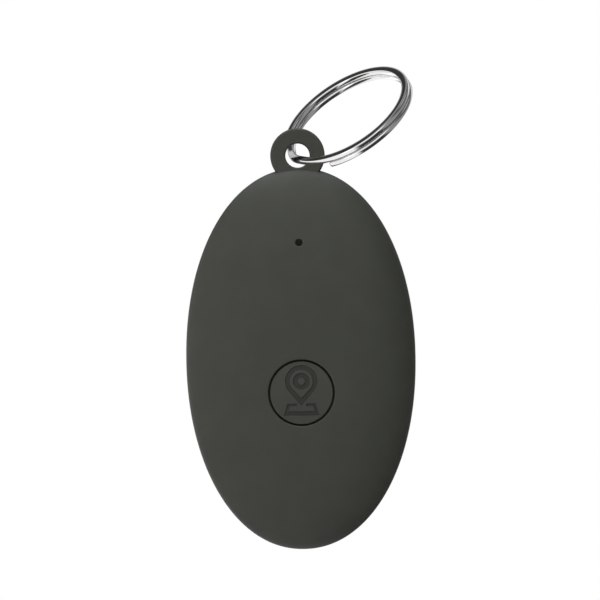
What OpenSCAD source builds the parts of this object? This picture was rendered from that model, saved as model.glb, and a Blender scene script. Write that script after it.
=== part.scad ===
// Bluetooth tracker tag on a split key ring.
// The origin is the centre of the eyelet's hole. +X is to the right of a person who faces the
// front, +Y points to the rear and +Z points up, so the tag hangs below the origin.
// Inside the tag, pieces are drawn in the board's frame: x to the right, y up along the tag,
// z towards the front, with 0 at the middle of the case's length and in the board's mid-plane.

/* [Case] */
// Width of the case
body_w = 32.2; // [32:0.1:34]
// Length of the case without its eyelet
body_l = 53.5; // [53:0.5:56]
// Height of the front dome
front_h = 4.0; // [3.9:0.1:4.5]
// Depth of the rear cover below the parting plane
rear_h = 4.4; // [4.4:0.1:5]
// Wall thickness
wall = 1.3; // [1.2:0.05:1.3]
// Squareness of the outline, where 2 is an ellipse
outline_power = 2.09; // [2:0.01:2.3]

/* [Eyelet] */
// Radius of the eyelet's hole
eye_hole_r = 1.7; // [1.6:0.05:1.8]
// Outer radius of the eyelet
eye_r = 3.83; // [3.6:0.05:4.2]
// Thickness of the eyelet's plate
eye_t = 2.6; // [2.4:0.1:2.6]

/* [Key ring] */
// Outer diameter of the split ring
ring_d = 20; // [20:0.5:25]
// Width of the wire across the ring
wire_w = 1.1; // [1:0.05:1.2]
// Thickness of the wire along the ring's axis
wire_t = 0.86; // [0.8:0.02:0.9]
// Angle of the ring above the horizontal, seen from the front
ring_roll = 33.2; // [30:1:36]
// Lean of the ring towards the front
ring_tilt = 28.3; // [26:1:31]
// How far the ring has slid round through the eyelet
ring_slide = 6.3; // [4:1:8]

/* [Button and sound port] */
// Radius of the button's cap
button_r = 4.4; // [4.2:0.05:4.5]
// Gap round the button
button_gap = 0.26; // [0.2:0.02:0.3]
// Distance of the button below the middle of the case
button_drop = 4.77; // [4.5:0.05:5]
// Radius of the sound port
port_r = 0.5; // [0.4:0.05:0.6]
// Distance of the sound port above the middle of the case
port_rise = 16.26; // [16:0.05:16.5]
// Depth of the engraved symbol
engrave = 0.15; // [0.1:0.01:0.2]

/* [Board] */
// Thickness of the circuit board
board_t = 0.8; // [0.8:0.05:0.9]

/* [Hidden] */
$fn = 64;
eps = 0.01;

// Case
half_w = body_w / 2;
half_l = body_l / 2;
body_drop = half_l + eye_hole_r + 0.05;  // the hole's edge just clears the case's top
part_z = -eye_t / 2;                     // parting plane, at the back of the eyelet
dome_z = 0.6;                            // the flank is straight up to here, and the dome begins
front_z = dome_z + front_h;
rear_z = part_z - rear_h;
outline_steps = 72;
dome_steps = 9;
edge_steps = 6;
dome_power = 2.5;                        // flatness of the dome across the case
parting_gap = 0.04;
rim_chamfer = 0.12;
lip_h = 0.6;                             // the rear cover's lip, which enters the front cover
lip_out = 1.6;
lip_in = 2.3;

// Board, with its parts stacked on both faces
board_top = board_t / 2;
board_inset = 2.9;
screw_spots = [[-8.5, 13], [8.5, 13], [0, -20.8]];
screw_r = 0.55;
screw_head_r = 1.15;
screw_head_h = 0.55;
boss_r = 1.6;
boss_top = 3;
screw_reach = 1.5;
holder_pins = [[0, 10.7], [-10.7, 0]];

// Button
flange_r = 5.3;
flange_h = 0.6;
flange_seat = 3;
flange_top = flange_seat - 0.02;
flange_gap = 0.2;                        // room round the flange in its recess
collar_w = 0.6;                          // wall round that recess
collar_z = 2.3;
post_r = 1.3;
crown_drop = 0.14;                       // the cap's edge sits this far below its middle
crown_steps = 6;
crown_sink = 0.04;                       // the cap's middle sits just below the dome's top

// Tactile switch
switch_w = 4.6;
switch_h = 1.1;
switch_plate = 0.12;
plunger_r = 0.9;
plunger_top = 1.9;

// Buzzer
buzzer_y = 13;
buzzer_r = 4.5;
buzzer_top = 2.4;
buzzer_floor = 0.65;

// Coin cell of the 2032 size
cell_r = 10;
cell_t = 3.2;
cell_y = -3.8;
cell_near = -0.8;                        // face towards the board
cell_far = cell_near - cell_t;
shell_t = 0.25;
crimp_r = 0.35;
holder_in = cell_r + 0.2;
holder_out = cell_r + 1.2;
holder_h = 2.8;

// Split ring
wire_mid = ring_d / 2 - wire_w / 2;
wire_pitch = wire_t + 0.03;
wire_round = 0.24;
jog_half = 20;                           // degrees each side of the eyelet for the step
turn_start = -33;
turn_end = -672;
turn_steps = 110;
wire_seat = [-0.35, 0, -0.35];           // where the wire passes through the hole

function sgn_pow(v, p) = sign(v) * pow(abs(v), p);

// A point of the case's outline: a superellipse at turn t.
function outline(t, a = half_w, b = half_l) =
    [a * sgn_pow(cos(t), 2 / outline_power), b * sgn_pow(sin(t), 2 / outline_power)];

// The outward direction of the outline at turn t.
function outward(t) =
    let (p = outline(t),
         g = [sgn_pow(p.x / half_w, outline_power - 1) / half_w,
              sgn_pow(p.y / half_l, outline_power - 1) / half_l])
    g / norm(g);

// The outline moved inwards by d.
function inset(d) = [for (i = [0:outline_steps - 1])
    let (t = 360 * i / outline_steps) outline(t) - d * outward(t)];

// A ring of the outline, scaled about the middle, at height z.
function scaled_ring(a, b, s, z) = [for (i = [0:outline_steps - 1])
    let (p = outline(360 * i / outline_steps, a * s, b * s)) [p.x, p.y, z]];

// A ring of the outline, moved inwards by d, at height z.
function inset_ring(d, z) = [for (p = inset(d)) [p.x, p.y, z]];

// The rings of a dome of half-axes a, b and height h that stands on the flank. Its section
// obeys s^dome_power + (z/h)^2 = 1, where s is the ring's scale and z its height in the dome.
function dome_rings(a, b, h) = [for (i = [0:dome_steps - 1])
    let (f = 90 * i / dome_steps) scaled_ring(a, b, pow(cos(f), 2 / dome_power), dome_z + h * sin(f))];

// The rings of the rear edge: a quarter round of radius r that ends rear_h inside the outline.
function edge_rings(r, from_z) = [for (i = [0:edge_steps])
    let (f = 90 * i / edge_steps) inset_ring(rear_h - r * cos(f), from_z - r * sin(f))];

function reversed(v) = [for (i = [len(v) - 1:-1:0]) v[i]];

// A closed skin: a point, rings of equal size, and a point.
module skin(first, rings, last) {
    m = len(rings[0]);
    n = len(rings);
    points = concat([first], [for (r = rings) for (p = r) p], [last]);
    faces = concat(
        [for (j = [0:m - 1]) [0, 1 + (j + 1) % m, 1 + j]],
        [for (i = [0:n - 2]) for (j = [0:m - 1]) for (k = [0, 1])
            let (a = 1 + i * m + j, b = 1 + i * m + (j + 1) % m)
            k == 0 ? [a, b, b + m] : [a, b + m, a + m]],
        [for (j = [0:m - 1]) [1 + n * m, 1 + (n - 1) * m + j, 1 + (n - 1) * m + (j + 1) % m]]);
    polyhedron(points, faces, convexity = 4);
}

// Puts a piece drawn in the board's frame where it belongs in the hanging tag.
module in_tag() {
    translate([0, 0, -body_drop]) rotate([90, 0, 0]) children();
}

module at(spot, z = 0) {
    translate([spot[0], spot[1], z]) children();
}

module band(outer, inner) {
    difference() {
        polygon(inset(outer));
        polygon(inset(inner));
    }
}

module block(x, y, z, h) {
    translate([-x / 2, -y / 2, z]) cube([x, y, h]);
}

module tube(r_out, r_in, h) {
    linear_extrude(h) difference() {
        circle(r_out);
        circle(r_in);
    }
}

// ---- Case ----

module front_shell() {
    outer = reversed(concat(
        [inset_ring(rim_chamfer, part_z), scaled_ring(half_w, half_l, 1, part_z + rim_chamfer)],
        dome_rings(half_w, half_l, front_h)));
    inner = concat([scaled_ring(half_w - wall, half_l - wall, 1, part_z)],
        dome_rings(half_w - wall, half_l - wall, front_h - wall));
    skin([0, 0, front_z], concat(outer, inner), [0, 0, front_z - wall]);
}

module eyelet() {
    difference() {
        at([0, body_drop], part_z) cylinder(r = eye_r, h = eye_t);
        translate([0, 0, part_z - 1]) linear_extrude(eye_t + 2) polygon(inset(wall - 0.3));
    }
}

module front_cover() {
    color("#3d3e3a") in_tag() difference() {
        union() {
            front_shell();
            eyelet();
            for (s = screw_spots) at(s, board_top) cylinder(r = boss_r, h = boss_top - board_top);
            at([0, -button_drop], collar_z) cylinder(r = flange_r + flange_gap + collar_w, h = 1.2);
        }
        at([0, body_drop], part_z - 1) cylinder(r = eye_hole_r, h = eye_t + 2);
        at([0, -button_drop], 0) cylinder(r = button_r + button_gap, h = front_z + 1);
        at([0, -button_drop], 2) cylinder(r = flange_r + flange_gap, h = flange_seat - 2);
        at([0, port_rise], 1) cylinder(r = port_r, h = front_z);
        for (s = screw_spots) at(s, 0) cylinder(r = screw_r, h = screw_reach + 0.1);
    }
}

module rear_shell() {
    inner_r = rear_h - wall + 0.05;
    top = part_z - parting_gap;
    outer = concat([inset_ring(rim_chamfer, top)],
        [for (r = edge_rings(rear_h, part_z)) r[0].z > top - rim_chamfer
            ? [for (p = r) [p.x, p.y, top - rim_chamfer]] : r]);
    inner = reversed(edge_rings(inner_r, top));
    skin([0, 0, rear_z + rear_h - inner_r - parting_gap], concat(inner, outer), [0, 0, rear_z]);
}

module rear_cover() {
    ledge_z = part_z - 1.1;
    rib_foot = rear_z + wall - 0.2;
    color("#3a3b38") in_tag() difference() {
        union() {
            rear_shell();
            translate([0, 0, ledge_z]) linear_extrude(part_z - parting_gap - ledge_z) band(0.9, lip_in);
            translate([0, 0, ledge_z]) linear_extrude(part_z + lip_h - ledge_z) band(lip_out, lip_in);
            at([0, cell_y], rib_foot) tube(8, 7, cell_far - 0.1 - rib_foot);
        }
        pry_notch();
    }
}

module pry_notch() {
    translate([-3.5, -half_l - 1, part_z - 0.7]) cube([7, 1.45, 1]);
}

// ---- Key ring ----

// Height of the wire along the ring's axis at turn s: one layer, a smooth step, the other layer.
function wire_z(s) =
    let (u = min(1, max(0, (-s - 360 + jog_half) / (2 * jog_half))))
    wire_pitch * (0.5 - u * u * (3 - 2 * u));

function wire_section() = [for (c = [[1, 1], [-1, 1], [-1, -1], [1, -1]]) for (k = [0, 1])
    let (first = (c.x * c.y > 0) == (k == 0))
    [c.x * (wire_w / 2 - (first ? 0 : wire_round)), c.y * (wire_t / 2 - (first ? wire_round : 0))]];

function wire_ring(s) = [for (q = wire_section())
    let (r = wire_mid + q.x) [wire_mid - r * cos(s), -r * sin(s), wire_z(s) + q.y]];

module key_ring() {
    rings = [for (i = [0:turn_steps])
        wire_ring(turn_start + (turn_end - turn_start) * i / turn_steps)];
    ends = [for (s = [turn_start, turn_end])
        [wire_mid - wire_mid * cos(s), -wire_mid * sin(s), wire_z(s)]];
    color("#c8c8ca") translate(wire_seat)
        rotate([0, -ring_roll, 0]) rotate([ring_tilt, 0, 0]) rotate([0, 0, ring_slide])
        skin(ends[0], rings, ends[1]);
}

// ---- Button ----

function arc(r, from, to, steps = 24) = [for (i = [0:steps])
    let (t = from + (to - from) * i / steps) r * [cos(t), sin(t)]];

// A drop: a circle of radius r with a point at the distance tip below its centre.
module drop(r, tip) {
    half = acos(r / tip);
    polygon(concat(arc(r, half - 90, 270 - half), [[0, -tip]]));
}

// A place symbol: a map pin over a flat plate.
module place_symbol() {
    translate([0, 1.61]) {
        difference() {
            drop(2.23, 3.39);
            drop(1.64, 2.4);
        }
        difference() {
            circle(1.15);
            circle(0.53);
        }
    }
    difference() {
        polygon([[-2.47, -3.2], [2.47, -3.2], [1.96, -1.54], [-1.96, -1.54]]);
        polygon([[-1.9, -2.6], [1.9, -2.6], [1.62, -1.88], [-1.62, -1.88]]);
        translate([-0.65, -2.4]) square([1.3, 1]);
    }
}

// The button turned about its axis: post, flange and a crowned cap.
module button_blank() {
    post_z = plunger_top + 0.02;
    top_z = front_z - crown_sink;
    rotate_extrude() polygon(concat(
        [[0, post_z], [post_r, post_z], [post_r, flange_top - flange_h],
         [flange_r, flange_top - flange_h], [flange_r, flange_top], [button_r, flange_top]],
        [for (i = [crown_steps:-1:0]) let (r = button_r * i / crown_steps)
            [r, top_z - crown_drop * pow(r / button_r, 2)]]));
}

module button_cap() {
    color("#3b3c39") in_tag() at([0, -button_drop]) difference() {
        button_blank();
        translate([0, 0, front_z - crown_sink - crown_drop - engrave]) linear_extrude(2) place_symbol();
    }
}

// ---- Circuit board ----

module circuit_board() {
    color("#1f5a38") in_tag() difference() {
        translate([0, 0, -board_top]) linear_extrude(board_t) polygon(inset(board_inset));
        for (s = screw_spots) at(s, -1) cylinder(r = screw_r + 0.2, h = 2);
        for (p = holder_pins) at([p.x, p.y + cell_y], -1) cylinder(r = 0.5, h = 2);
    }
}

module board_screws() {
    color("#b9babc") in_tag() for (s = screw_spots) at(s) difference() {
        union() {
            translate([0, 0, -board_top]) cylinder(r = screw_r, h = board_top + screw_reach);
            translate([0, 0, -board_top - screw_head_h]) cylinder(r = screw_head_r, h = screw_head_h);
        }
        for (a = [0, 90]) rotate([0, 0, a]) block(1.4, 0.3, -board_top - screw_head_h - eps, 0.32);
    }
}

module switch_base() {
    color("#2b2b2d") in_tag() at([0, -button_drop]) difference() {
        block(switch_w, switch_w, board_top, switch_h);
        translate([0, 0, board_top + 0.3]) cylinder(r = 1.75, h = 2);
        for (x = [-1, 1]) for (y = [-1, 1])
            translate([x * switch_w / 2, y * switch_w / 2, board_top + switch_h / 2])
                rotate([0, 0, 45]) cube([0.7, 0.7, 2], center = true);
    }
}

module switch_dome() {
    rise = 0.43;
    foot = 1.6;
    cap_r = (foot * foot + rise * rise) / (2 * rise);
    color("#c9b27a") in_tag() at([0, -button_drop], board_top + 0.32) intersection() {
        difference() {
            translate([0, 0, rise - cap_r]) sphere(r = cap_r);
            translate([0, 0, rise - cap_r]) sphere(r = cap_r - 0.08);
        }
        cylinder(r = foot + 0.2, h = 1);
    }
}

module switch_plunger() {
    color("#e8e6e0") in_tag() at([0, -button_drop]) {
        translate([0, 0, 1.25]) cylinder(r = plunger_r, h = plunger_top - 1.25);
        translate([0, 0, 1.2]) cylinder(r = 1.45, h = 0.22);
    }
}

module switch_cover() {
    top = board_top + switch_h;
    color("#cfd0d2") in_tag() at([0, -button_drop]) {
        difference() {
            block(switch_w, switch_w, top, switch_plate);
            translate([0, 0, top - 1]) cylinder(r = plunger_r + 0.08, h = 2);
        }
        for (side = [-1, 1]) translate([0, side * (switch_w / 2 + switch_plate / 2), 0])
            block(1.4, switch_plate, top - 0.6, 0.6 + switch_plate);
    }
}

module switch_terminals() {
    color("#d6d4cf") in_tag() at([0, -button_drop]) for (x = [-1, 1]) for (y = [-1, 1])
        translate([x * (switch_w / 2 + 0.45), y * 1.5, 0]) block(0.9, 0.7, board_top, 0.18);
}

// ---- Buzzer ----

module buzzer_base() {
    color("#3a3a3c") in_tag() at([0, buzzer_y], board_top) {
        cylinder(r = buzzer_r - 0.1, h = buzzer_floor - board_top);
        cylinder(r = 0.8, h = 1.0);
    }
}

module buzzer_magnet() {
    color("#55565a") in_tag() at([0, buzzer_y], buzzer_floor) tube(3.6, 2.6, 0.7);
}

module buzzer_coil() {
    color("#b0642c") in_tag() at([0, buzzer_y], buzzer_floor) tube(2.3, 0.8, 0.62);
}

module buzzer_diaphragm() {
    color("#b7b8ba") in_tag() at([0, buzzer_y], 1.55) {
        cylinder(r = buzzer_r - 0.35, h = 0.08);
        cylinder(r = 1.6, h = 0.2);
    }
}

module buzzer_case() {
    color("#232325") in_tag() difference() {
        at([0, buzzer_y], buzzer_floor) cylinder(r = buzzer_r, h = buzzer_top - buzzer_floor);
        at([0, buzzer_y], buzzer_floor - 1)
            cylinder(r = buzzer_r - 0.35, h = buzzer_top - buzzer_floor + 0.7);
        at([0, port_rise], 1) cylinder(r = 0.7, h = 2);
    }
}

// ---- Chips ----

module bluetooth_chip() {
    color("#1d1d1f") in_tag() at([-6.6, 3.2], board_top) difference() {
        block(5, 5, 0, 0.85);
        translate([-1.9, 1.9, 0.78]) cylinder(r = 0.3, h = 1);
    }
}

module main_crystal() {
    color("#c3c4c6") in_tag() at([-7, -2.2], board_top) {
        block(3.2, 2.5, 0, 0.45);
        block(2.8, 2.1, 0.45, 0.2);
    }
}

module clock_crystal() {
    color("#c9c5b8") in_tag() at([-6.8, -6.4], board_top) {
        block(3.2, 1.5, 0, 0.5);
        block(2.8, 1.1, 0.5, 0.2);
    }
}

module chip_antenna() {
    color("#e9e7df") in_tag() at([5.2, -18.4], board_top) block(3.2, 1.6, 0, 1.1);
}

module capacitors() {
    spots = [[-2.8, 5.2], [-2.8, 3.8], [-2.8, 2.4], [-10.2, 2.2], [-10.2, 4.4], [5.6, 3.4], [5.6, 4.8]];
    color("#b59a72") in_tag() for (s = spots) at(s, board_top) block(1, 0.5, 0, 0.5);
}

module resistors() {
    spots = [[6.8, -3], [6.8, -4.4], [6.8, -5.8], [-4.4, 7.6], [4.4, -12.4], [-4.4, -12.4]];
    color("#26262a") in_tag() for (s = spots) at(s, board_top) block(1, 0.5, 0, 0.35);
}

// ---- Battery bay ----

module battery_holder() {
    color("#303032") in_tag() at([0, cell_y], -board_top) {
        difference() {
            translate([0, 0, -holder_h]) tube(holder_out, holder_in, holder_h);
            translate([cell_r, -2.6, -holder_h - 1]) cube([3, 5.2, holder_h + 2]);
            translate([-6, -holder_out - 1, -holder_h - 1]) cube([12, 5, holder_h + 0.4]);
        }
        for (p = holder_pins) at(p) cylinder(r = 0.45, h = board_t + 0.2);
    }
}

// A leaf that bears on the side of the cell, bent outwards to a foot on the board.
module positive_contact() {
    leaf = 0.2;
    near = cell_r + 0.03;
    color("#d9d2bb") in_tag() translate([0, cell_y - 2.2, -board_top]) rotate([-90, 0, 0])
        linear_extrude(4.4)
            polygon([[near, 0], [near, 2.6], [near + 0.5, 3.0], [near + 0.5 + leaf, 2.9],
                [near + leaf, 2.5], [near + leaf, leaf], [near + 2, leaf], [near + 2, 0]]);
}

// A strip on the board with a raised middle that bears on the near face of the cell.
module negative_contact() {
    leaf = 0.15;
    gap = -board_top - cell_near - 0.02;
    color("#d9d2bb") in_tag() translate([-2, cell_y, -board_top]) rotate([90, 0, 90])
        linear_extrude(4)
            polygon([[-7, 0], [-5, 0], [-3, leaf - gap], [3, leaf - gap], [5, 0], [7, 0],
                [7, -leaf], [5, -leaf], [3, -gap], [-3, -gap], [-5, -leaf], [-7, -leaf]]);
}

// The cell's can: a cup with a rounded corner, open towards the board.
module battery_can() {
    depth = 2.75;
    color("#c4c5c7") in_tag() at([0, cell_y], cell_far) rotate_extrude()
        polygon(concat(
            [[0, 0]],
            [for (p = arc(crimp_r, -90, 0, 6)) p + [cell_r - crimp_r, crimp_r]],
            [[cell_r, depth - 0.3], [cell_r - 0.25, depth], [cell_r - shell_t - 0.15, depth],
             [cell_r - shell_t, depth - 0.4], [cell_r - shell_t, shell_t], [0, shell_t]]));
}

// The cell's cap: a shallow cup that closes the cell towards the board.
module battery_cap() {
    r = 8.85;
    color("#b4b6b8") in_tag() at([0, cell_y], cell_near) rotate_extrude()
        polygon(concat(
            [[0, 0]],
            [for (p = arc(crimp_r, 90, 0, 6)) p + [r - crimp_r, -crimp_r]],
            [[r, -2], [r - shell_t, -2], [r - shell_t, -shell_t], [0, -shell_t]]));
}

module battery_seal() {
    color("#6f7072") in_tag() at([0, cell_y], cell_near - 2.6) difference() {
        cylinder(r = cell_r - shell_t - 0.16, h = 2.2);
        translate([0, 0, -1]) cylinder(r = 8.86, h = 4);
    }
}

module battery_core() {
    color("#4a4a4c") in_tag() at([0, cell_y], cell_far + shell_t) cylinder(r = 8.5, h = 2.6);
}

key_ring();
front_cover();
rear_cover();
button_cap();
circuit_board();
board_screws();
switch_base();
switch_dome();
switch_plunger();
switch_cover();
switch_terminals();
buzzer_base();
buzzer_magnet();
buzzer_coil();
buzzer_diaphragm();
buzzer_case();
bluetooth_chip();
main_crystal();
clock_crystal();
chip_antenna();
capacitors();
resistors();
battery_holder();
positive_contact();
negative_contact();
battery_can();
battery_cap();
battery_seal();
battery_core();
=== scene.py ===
"""A bluetooth tracker tag that hangs on a split key ring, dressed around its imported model.

Each sub-assembly is a class that works out its own surfaces with numpy, in millimetres, and puts
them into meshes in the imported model's frame, in metres. Each finish is a frozen dataclass.
"""

from __future__ import annotations

import logging
import math
from dataclasses import dataclass, field
from enum import Enum

import bmesh
import bpy
import numpy as np
from mathutils import Matrix, Vector

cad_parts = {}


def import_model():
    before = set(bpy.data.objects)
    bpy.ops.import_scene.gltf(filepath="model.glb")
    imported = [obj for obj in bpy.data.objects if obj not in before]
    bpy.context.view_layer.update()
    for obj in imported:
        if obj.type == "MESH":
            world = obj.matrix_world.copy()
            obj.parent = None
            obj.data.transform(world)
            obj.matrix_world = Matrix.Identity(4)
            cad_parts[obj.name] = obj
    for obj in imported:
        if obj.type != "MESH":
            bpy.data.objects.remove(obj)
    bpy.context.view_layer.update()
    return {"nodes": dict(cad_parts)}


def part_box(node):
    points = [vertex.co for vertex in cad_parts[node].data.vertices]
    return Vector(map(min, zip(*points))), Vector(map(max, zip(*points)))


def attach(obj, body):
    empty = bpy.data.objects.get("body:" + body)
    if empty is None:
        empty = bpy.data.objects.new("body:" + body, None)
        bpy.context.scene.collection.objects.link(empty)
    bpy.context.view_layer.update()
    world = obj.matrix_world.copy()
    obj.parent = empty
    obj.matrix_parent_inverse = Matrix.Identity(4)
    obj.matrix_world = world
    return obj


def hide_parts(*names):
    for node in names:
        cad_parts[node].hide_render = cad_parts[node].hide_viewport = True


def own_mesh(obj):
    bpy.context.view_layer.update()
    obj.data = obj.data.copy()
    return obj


LOG = logging.getLogger("tracker_tag")
MM = 0.001
SHARP_ANGLE = math.radians(38)
FULL_TURN = 2 * math.pi

Array = np.ndarray
Spot = tuple[float, float]
Triple = tuple[float, float, float]
Colour = Triple
Piece = bpy.types.Object
Material = bpy.types.Material
Node = bpy.types.Node
Socket = bpy.types.NodeSocket


# --- Curves and surfaces ---


def signed_power(value: Array, power: float) -> Array:
    """The size of value raised to a power, with value's sign: sign(value) * |value| ^ power."""
    return np.sign(value) * np.abs(value) ** power


def smooth_step(low: float, high: float, value: Array) -> Array:
    """A rise 3u^2 - 2u^3, where u goes from 0 at low to 1 at high, which may be below low."""
    u = np.clip((value - low) / (high - low), 0, 1)
    return u * u * (3 - 2 * u)


def rounded_path(corners: list[Triple], steps: int = 5, closed: bool = False,
                 support: float = 0.03) -> Array:
    """A line through corners, each rounded to its own radius.

    Where two straights meet at the angle w, an arc of radius r ends r / tan(w / 2) from the
    corner. A support point beyond each end keeps the flat beside it shaded flat.

    Args:
        corners: x, y and radius of each corner; radius 0 keeps it sharp.
        steps: spans in each arc.
        closed: whether the last corner joins the first.
        support: distance of a support point from the arc's end.

    Returns:
        The points, one row each.
    """
    spots = np.array([c[:2] for c in corners], float)
    found: list[Array] = []
    for i, (x, y, radius) in enumerate(corners):
        spot = np.array([x, y], float)
        if radius <= 0 or (not closed and i in (0, len(corners) - 1)):
            found.append(spot[None])
            continue
        before = spots[i - 1] - spot
        after = spots[(i + 1) % len(spots)] - spot
        before, after = before / np.linalg.norm(before), after / np.linalg.norm(after)
        half = math.acos(float(np.clip(before @ after, -1, 1))) / 2
        reach = radius / math.tan(half)
        middle = spot + (before + after) / np.linalg.norm(before + after) * radius / math.sin(half)
        first, last = spot + before * reach - middle, spot + after * reach - middle
        sweep = math.pi - 2 * half
        t = np.linspace(0, 1, steps + 1)[:, None] * sweep
        arc = middle + (first * np.sin(sweep - t) + last * np.sin(t)) / math.sin(sweep)
        found += [(spot + before * (reach + support))[None], arc,
                  (spot + after * (reach + support))[None]]
    return np.concatenate(found)


@dataclass(frozen=True)
class Outline:
    """A superellipse: |x / half_w| ^ power + |y / half_l| ^ power = 1, in millimetres."""

    half_w: float
    half_l: float
    power: float = 2.09

    def points(self, turns: Array) -> Array:
        """Points at angles in radians: half_w * cos ^ (2 / power), half_l * sin ^ (2 / power)."""
        exponent = 2 / self.power
        return np.stack([self.half_w * signed_power(np.cos(turns), exponent),
                         self.half_l * signed_power(np.sin(turns), exponent)], axis=-1)

    def outward(self, turns: Array) -> Array:
        """The outline's outward direction: the gradient of its level, made one long."""
        spots = self.points(turns)
        slope = np.stack([signed_power(spots[:, 0] / self.half_w, self.power - 1) / self.half_w,
                          signed_power(spots[:, 1] / self.half_l, self.power - 1) / self.half_l],
                         axis=-1)
        return slope / np.linalg.norm(slope, axis=1, keepdims=True)

    def level(self, spots: Array) -> Array:
        """How far out a spot is: 0 in the middle and 1 on the outline."""
        x, y = np.abs(spots[..., 0] / self.half_w), np.abs(spots[..., 1] / self.half_l)
        return (x**self.power + y**self.power) ** (1 / self.power)

    def shrunk(self, by: float) -> Outline:
        """The same kind of outline with both half-axes shorter."""
        return Outline(self.half_w - by, self.half_l - by, self.power)


@dataclass(frozen=True)
class Dome:
    """A low dome on an outline: s ^ flatness + ((z - base) / rise) ^ 2 = 1, s the outline's level."""

    outline: Outline
    base: float
    rise: float
    flatness: float = 2.5

    def over(self, spots: Array, sink: Array | float = 0.0) -> Array:
        """Points of the dome over flat spots.

        Args:
            spots: x and y of each point.
            sink: how far below the dome each point lies.

        Returns:
            x, y and z = base + rise * sqrt(1 - s ^ flatness) - sink.
        """
        inside = np.clip(1 - self.outline.level(spots) ** self.flatness, 0, None)
        z = self.base + self.rise * np.sqrt(inside) - sink
        return np.concatenate([spots, z[..., None]], axis=-1)


def at_height(spots: Array, z: float | Array) -> Array:
    """Flat spots lifted to the height z."""
    return np.concatenate([spots, np.broadcast_to(z, spots.shape[:-1])[..., None]], axis=-1)


def circle(centre: Spot, radius: float | Array, turns: Array) -> Array:
    """Spots on a circle: centre + radius * (cos, sin) of each turn."""
    return np.stack([centre[0] + radius * np.cos(turns), centre[1] + radius * np.sin(turns)], axis=-1)


def even_turns(count: int) -> Array:
    """That many turns, evenly spread over a full circle."""
    return np.arange(count) / count * FULL_TURN


class Surface:
    """The points, faces and point marks of one mesh, gathered block by block."""

    def __init__(self) -> None:
        """Starts empty."""
        self._points: list[Array] = []
        self._marks: dict[str, list[Array]] = {"edge": [], "engraved": []}
        self._faces: list[Array] = []
        self._count = 0

    def add_points(self, points: Array, edge: Array | float = 0.0,
                   engraved: Array | float = 0.0) -> Array:
        """Adds a block of points.

        Args:
            points: an array whose last axis is x, y, z.
            edge: 1 on a rounded edge, per point or for all.
            engraved: 1 on the floor of an engraving.

        Returns:
            The points' numbers, in the block's shape.
        """
        shape = points.shape[:-1]
        size = int(np.prod(shape))
        self._points.append(points.reshape(-1, 3))
        for name, value in (("edge", edge), ("engraved", engraved)):
            self._marks[name].append(np.broadcast_to(value, shape).reshape(-1).astype(float))
        numbers = np.arange(self._count, self._count + size).reshape(shape)
        self._count += size
        return numbers

    def add_grid(self, numbers: Array, around: bool = True, along: bool = False,
                 keep: Array | None = None) -> None:
        """Adds the four-sided faces of a grid.

        Args:
            numbers: the points' numbers, rows by columns.
            around: whether the last column joins the first.
            along: whether the last row joins the first.
            keep: True for each face to make.
        """
        rows = np.concatenate([numbers, numbers[:1]]) if along else numbers
        cells = np.concatenate([rows, rows[:, :1]], axis=1) if around else rows
        faces = np.stack([cells[:-1, :-1], cells[:-1, 1:], cells[1:, 1:], cells[1:, :-1]], axis=-1)
        self._faces.append(faces.reshape(-1, 4) if keep is None else faces[keep])

    def add_fan(self, ring: Array, middle: Array) -> None:
        """Closes a ring of points with triangles to one middle point."""
        self._faces.append(np.stack([ring, np.roll(ring, -1), np.full_like(ring, middle)], axis=-1))

    def add_skin(self, rings: Array, edge: Array | float = 0.0, engraved: Array | float = 0.0) -> None:
        """Adds rings of equal size and closes both ends with a fan to each end ring's middle."""
        numbers = self.add_points(rings, edge, engraved)
        self.add_grid(numbers)
        for ring, spots in ((numbers[0], rings[0]), (numbers[-1], rings[-1])):
            self.add_fan(ring, self.add_points(spots.mean(axis=0)[None])[0])

    def add_loop(self, rings: Array, edge: Array | float = 0.0) -> None:
        """Adds rings of equal size and joins the last ring to the first, as on a torus."""
        self.add_grid(self.add_points(rings, edge), along=True)

    def build(self, name: str, place: Placing) -> Piece:
        """Makes the mesh object, with doubles merged, normals outwards and sharp edges marked.

        Args:
            name: the piece's name.
            place: maps the points to the row frame, in metres.

        Returns:
            The object, linked to the scene, at the origin.
        """
        points = place(np.concatenate(self._points))
        mesh = bpy.data.meshes.new(name)
        mesh.from_pydata(points.tolist(), [], [f for block in self._faces for f in block.tolist()])
        for mark, blocks in self._marks.items():
            mesh.attributes.new(mark, "FLOAT", "POINT").data.foreach_set(
                "value", np.concatenate(blocks).astype(np.float32))
        shape = bmesh.new()
        shape.from_mesh(mesh)
        bmesh.ops.delete(shape, geom=[v for v in shape.verts if not v.link_faces], context="VERTS")
        bmesh.ops.remove_doubles(shape, verts=shape.verts, dist=0.002 * MM)
        bmesh.ops.recalc_face_normals(shape, faces=shape.faces)
        shape.to_mesh(mesh)
        shape.free()
        mesh.shade_smooth()
        mesh.set_sharp_from_angle(angle=SHARP_ANGLE)
        made = bpy.data.objects.new(name, mesh)
        bpy.context.scene.collection.objects.link(made)
        LOG.info("%s: %d points, %d faces", name, len(mesh.vertices), len(mesh.polygons))
        return made


class Placing:
    """Maps points from a piece's own drawing, in millimetres, to the row frame, in metres."""

    def __init__(self, matrix: Matrix) -> None:
        """Keeps the turn and shift that the matrix gives, in millimetres."""
        self._matrix = np.array(matrix, float)

    def __call__(self, points: Array) -> Array:
        """The points turned, shifted and brought to metres."""
        return (points @ self._matrix[:3, :3].T + self._matrix[:3, 3]) * MM

    def back(self, points: Array) -> Array:
        """Points of the row frame, in metres, brought back to the piece's own drawing."""
        return (points / MM - self._matrix[:3, 3]) @ self._matrix[:3, :3]


# --- Finishes ---


def rgba(colour: Colour) -> tuple[float, float, float, float]:
    """A colour with full alpha."""
    return (*colour, 1.0)


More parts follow.
